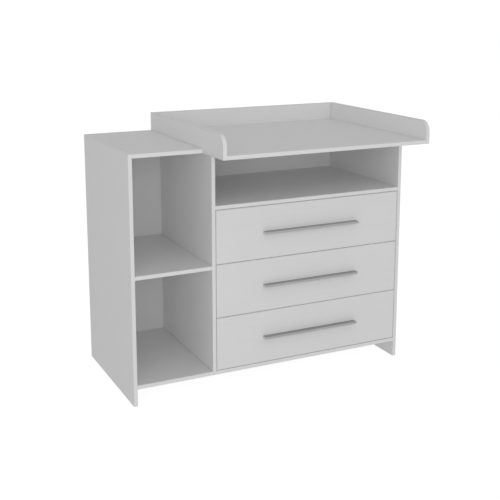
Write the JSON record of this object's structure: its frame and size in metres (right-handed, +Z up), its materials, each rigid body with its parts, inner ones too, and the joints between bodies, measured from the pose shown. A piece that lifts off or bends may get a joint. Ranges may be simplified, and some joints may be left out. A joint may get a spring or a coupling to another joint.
{
  "type": "changing table",
  "caption": "Nursery changing table: open shelf column beside a stack of drawers with long pulls, under a raised-edge changing tray that overhangs the front.",
  "frame": {"origin": "middle of the whole object's bounding box, at floor level", "axes": "+X to the right seen from the front, +Y from the front towards the wall behind, +Z up; drawers pull out along -Y"},
  "size_m": [1.176, 0.741, 1.034],
  "materials": {
    "melamine_board": "white melamine facing on 15 mm particleboard, edge-banded, satin",
    "hardboard": "3 mm hardboard, painted white on its inner face, raw brown fibre behind",
    "handle_metal": "brushed and anodised, grey, satin",
    "runner_steel": "roll-formed steel with an off-white epoxy coat",
    "roller_nylon": "moulded off-white nylon",
    "foot_plastic": "moulded grey plastic"
  },
  "bodies": {
    "cabinet": {"left_side_panel": "melamine_board", "right_side_panel": "melamine_board", "centre_panel": "melamine_board", "bottom_board": "melamine_board", "left_shelf": "melamine_board", "niche_shelf": "melamine_board", "left_top_board": "melamine_board", "front_top_rail": "melamine_board", "back_top_rail": "melamine_board", "top_board_cleat": "melamine_board", "left_back_panel": "hardboard", "right_back_panel": "hardboard", "centre_foot": "foot_plastic", "tray_left_side": "melamine_board", "tray_right_side": "melamine_board", "tray_base": "melamine_board", "tray_back_strip": "melamine_board", "bottom_drawer_left_cabinet_rail": "runner_steel", "bottom_drawer_right_cabinet_rail": "runner_steel", "middle_drawer_left_cabinet_rail": "runner_steel", "middle_drawer_right_cabinet_rail": "runner_steel", "top_drawer_left_cabinet_rail": "runner_steel", "top_drawer_right_cabinet_rail": "runner_steel"},
    "bottom_drawer": {"bottom_drawer_front": "melamine_board", "bottom_drawer_left_side": "melamine_board", "bottom_drawer_right_side": "melamine_board", "bottom_drawer_back": "melamine_board", "bottom_drawer_bottom": "hardboard", "bottom_drawer_handle": "handle_metal", "bottom_drawer_left_drawer_rail": "runner_steel", "bottom_drawer_right_drawer_rail": "runner_steel"},
    "bottom_drawer_left_front_roller_wheel": {"bottom_drawer_left_front_roller": "roller_nylon"},
    "bottom_drawer_left_rear_roller_wheel": {"bottom_drawer_left_rear_roller": "roller_nylon"},
    "bottom_drawer_right_front_roller_wheel": {"bottom_drawer_right_front_roller": "roller_nylon"},
    "bottom_drawer_right_rear_roller_wheel": {"bottom_drawer_right_rear_roller": "roller_nylon"},
    "middle_drawer": {"middle_drawer_front": "melamine_board", "middle_drawer_left_side": "melamine_board", "middle_drawer_right_side": "melamine_board", "middle_drawer_back": "melamine_board", "middle_drawer_bottom": "hardboard", "middle_drawer_handle": "handle_metal", "middle_drawer_left_drawer_rail": "runner_steel", "middle_drawer_right_drawer_rail": "runner_steel"},
    "middle_drawer_left_front_roller_wheel": {"middle_drawer_left_front_roller": "roller_nylon"},
    "middle_drawer_left_rear_roller_wheel": {"middle_drawer_left_rear_roller": "roller_nylon"},
    "middle_drawer_right_front_roller_wheel": {"middle_drawer_right_front_roller": "roller_nylon"},
    "middle_drawer_right_rear_roller_wheel": {"middle_drawer_right_rear_roller": "roller_nylon"},
    "top_drawer": {"top_drawer_front": "melamine_board", "top_drawer_left_side": "melamine_board", "top_drawer_right_side": "melamine_board", "top_drawer_back": "melamine_board", "top_drawer_bottom": "hardboard", "top_drawer_handle": "handle_metal", "top_drawer_left_drawer_rail": "runner_steel", "top_drawer_right_drawer_rail": "runner_steel"},
    "top_drawer_left_front_roller_wheel": {"top_drawer_left_front_roller": "roller_nylon"},
    "top_drawer_left_rear_roller_wheel": {"top_drawer_left_rear_roller": "roller_nylon"},
    "top_drawer_right_front_roller_wheel": {"top_drawer_right_front_roller": "roller_nylon"},
    "top_drawer_right_rear_roller_wheel": {"top_drawer_right_rear_roller": "roller_nylon"}
  },
  "joints": [
    {"name": "bottom_drawer_slide", "type": "slide", "parent": "cabinet", "child": "bottom_drawer", "axis": [0, -1, 0], "range_m": [0, 0.375]},
    {"name": "bottom_drawer_left_front_roller_spin", "type": "hinge", "parent": "cabinet", "child": "bottom_drawer_left_front_roller_wheel", "pos_m": [-0.244, -0.1595, 0.116], "axis": [1, 0, 0], "continuous": true},
    {"name": "bottom_drawer_left_rear_roller_spin", "type": "hinge", "parent": "bottom_drawer", "child": "bottom_drawer_left_rear_roller_wheel", "pos_m": [-0.2435, 0.3165, 0.1135], "axis": [1, 0, 0], "continuous": true},
    {"name": "bottom_drawer_right_front_roller_spin", "type": "hinge", "parent": "cabinet", "child": "bottom_drawer_right_front_roller_wheel", "pos_m": [0.567, -0.1595, 0.116], "axis": [1, 0, 0], "continuous": true},
    {"name": "bottom_drawer_right_rear_roller_spin", "type": "hinge", "parent": "bottom_drawer", "child": "bottom_drawer_right_rear_roller_wheel", "pos_m": [0.5665, 0.3165, 0.1135], "axis": [1, 0, 0], "continuous": true},
    {"name": "middle_drawer_slide", "type": "slide", "parent": "cabinet", "child": "middle_drawer", "axis": [0, -1, 0], "range_m": [0, 0.375]},
    {"name": "middle_drawer_left_front_roller_spin", "type": "hinge", "parent": "cabinet", "child": "middle_drawer_left_front_roller_wheel", "pos_m": [-0.244, -0.1595, 0.3291], "axis": [1, 0, 0], "continuous": true},
    {"name": "middle_drawer_left_rear_roller_spin", "type": "hinge", "parent": "middle_drawer", "child": "middle_drawer_left_rear_roller_wheel", "pos_m": [-0.2435, 0.3165, 0.3266], "axis": [1, 0, 0], "continuous": true},
    {"name": "middle_drawer_right_front_roller_spin", "type": "hinge", "parent": "cabinet", "child": "middle_drawer_right_front_roller_wheel", "pos_m": [0.567, -0.1595, 0.3291], "axis": [1, 0, 0], "continuous": true},
    {"name": "middle_drawer_right_rear_roller_spin", "type": "hinge", "parent": "middle_drawer", "child": "middle_drawer_right_rear_roller_wheel", "pos_m": [0.5665, 0.3165, 0.3266], "axis": [1, 0, 0], "continuous": true},
    {"name": "top_drawer_slide", "type": "slide", "parent": "cabinet", "child": "top_drawer", "axis": [0, -1, 0], "range_m": [0, 0.375]},
    {"name": "top_drawer_left_front_roller_spin", "type": "hinge", "parent": "cabinet", "child": "top_drawer_left_front_roller_wheel", "pos_m": [-0.244, -0.1595, 0.5422], "axis": [1, 0, 0], "continuous": true},
    {"name": "top_drawer_left_rear_roller_spin", "type": "hinge", "parent": "top_drawer", "child": "top_drawer_left_rear_roller_wheel", "pos_m": [-0.2435, 0.3165, 0.5397], "axis": [1, 0, 0], "continuous": true},
    {"name": "top_drawer_right_front_roller_spin", "type": "hinge", "parent": "cabinet", "child": "top_drawer_right_front_roller_wheel", "pos_m": [0.567, -0.1595, 0.5422], "axis": [1, 0, 0], "continuous": true},
    {"name": "top_drawer_right_rear_roller_spin", "type": "hinge", "parent": "top_drawer", "child": "top_drawer_right_rear_roller_wheel", "pos_m": [0.5665, 0.3165, 0.5397], "axis": [1, 0, 0], "continuous": true}
  ],
  "couplings": [
    {"joint": "bottom_drawer_left_front_roller_spin", "follows": "bottom_drawer_slide", "rad_per_m": 100},
    {"joint": "bottom_drawer_left_rear_roller_spin", "follows": "bottom_drawer_slide", "rad_per_m": 100},
    {"joint": "bottom_drawer_right_front_roller_spin", "follows": "bottom_drawer_slide", "rad_per_m": 100},
    {"joint": "bottom_drawer_right_rear_roller_spin", "follows": "bottom_drawer_slide", "rad_per_m": 100},
    {"joint": "middle_drawer_left_front_roller_spin", "follows": "middle_drawer_slide", "rad_per_m": 100},
    {"joint": "middle_drawer_left_rear_roller_spin", "follows": "middle_drawer_slide", "rad_per_m": 100},
    {"joint": "middle_drawer_right_front_roller_spin", "follows": "middle_drawer_slide", "rad_per_m": 100},
    {"joint": "middle_drawer_right_rear_roller_spin", "follows": "middle_drawer_slide", "rad_per_m": 100},
    {"joint": "top_drawer_left_front_roller_spin", "follows": "top_drawer_slide", "rad_per_m": 100},
    {"joint": "top_drawer_left_rear_roller_spin", "follows": "top_drawer_slide", "rad_per_m": 100},
    {"joint": "top_drawer_right_front_roller_spin", "follows": "top_drawer_slide", "rad_per_m": 100},
    {"joint": "top_drawer_right_rear_roller_spin", "follows": "top_drawer_slide", "rad_per_m": 100}
  ]
}
